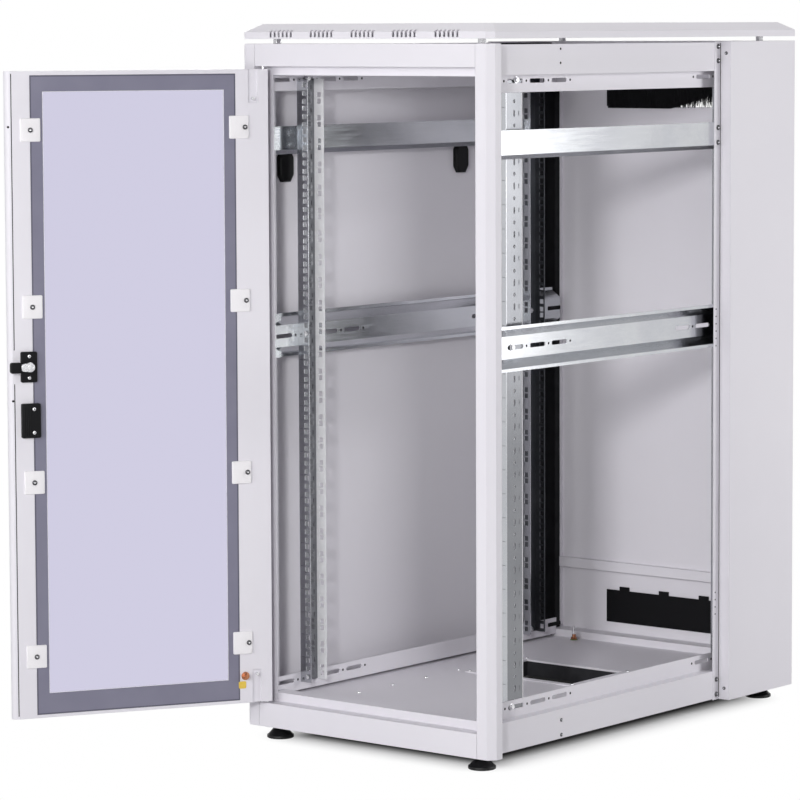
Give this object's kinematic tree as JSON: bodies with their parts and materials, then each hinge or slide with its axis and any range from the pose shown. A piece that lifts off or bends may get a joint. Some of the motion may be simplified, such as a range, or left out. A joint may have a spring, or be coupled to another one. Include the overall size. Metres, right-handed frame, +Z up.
{
  "type": "enclosed rack cabinet",
  "caption": "Free-standing enclosed rack cabinet with a hinged glass front door standing open, a turning lock cam, perforated mounting rails and its right side panel removed.",
  "frame": {"origin": "on the floor under the middle of the cabinet body, the open door left out of account", "axes": "+X to the cabinet's right seen from the front, +Y from the front to the back, +Z up"},
  "size_m": [0.8057, 1.4513, 1.368],
  "materials": {
    "light_grey_paint": "satin",
    "zinc_plated_steel": "zinc plated, satin",
    "bright_plated_steel": "bright plated",
    "tinted_glass": "polished",
    "black_plastic": "satin",
    "black_rubber": "matt",
    "black_bristles": "bristle",
    "copper": "bright"
  },
  "bodies": {
    "cabinet": {"front_left_post": "light_grey_paint", "front_right_post": "light_grey_paint", "rear_left_column": "light_grey_paint", "rear_right_column": "light_grey_paint", "front_base_beam": "light_grey_paint", "rear_base_beam": "light_grey_paint", "left_base_rail": "light_grey_paint", "right_base_rail": "light_grey_paint", "front_top_beam": "light_grey_paint", "rear_top_beam": "light_grey_paint", "left_top_rail": "light_grey_paint", "right_top_rail": "light_grey_paint", "floor_pan": "light_grey_paint", "roof": "light_grey_paint", "roof_spacers": "bright_plated_steel", "left_upper_side_rail": "zinc_plated_steel", "right_upper_side_rail": "zinc_plated_steel", "left_middle_side_rail": "zinc_plated_steel", "right_middle_side_rail": "zinc_plated_steel", "front_left_rack_rail": "zinc_plated_steel", "front_right_rack_rail": "zinc_plated_steel", "rear_left_rack_rail": "zinc_plated_steel", "rear_right_rack_rail": "zinc_plated_steel", "left_side_panel": "light_grey_paint", "side_panel_latches": "black_plastic", "rear_upper_panel": "light_grey_paint", "rear_lower_panel": "light_grey_paint", "rear_brush_strip": "black_bristles", "rear_cable_cover": "black_plastic", "levelling_feet": "black_rubber", "earth_stud": "copper"},
    "door": {"door_frame": "light_grey_paint", "door_glass": "tinted_glass", "hinge_side_glass_clips": "light_grey_paint", "free_side_glass_clips": "light_grey_paint", "hinge_pins": "bright_plated_steel", "hinge_knobs": "bright_plated_steel", "lock_housing": "black_plastic", "handle_cover": "black_plastic", "outer_handle": "black_plastic", "door_earth_stud": "copper"},
    "lock_cam": {"lock_cam": "bright_plated_steel", "cam_sleeve": "black_plastic"}
  },
  "joints": [
    {"name": "door_hinge", "type": "hinge", "parent": "cabinet", "child": "door", "pos_m": [-0.2475, -0.494, 0.6805], "axis": [0, 0, 1], "range_deg": [0, 120]},
    {"name": "lock_cam_turn", "type": "hinge", "parent": "door", "child": "lock_cam", "pos_m": [-0.4562, -0.91448, 0.737], "axis": [0.866, -0.5, 0], "range_deg": [-90, 0]}
  ]
}
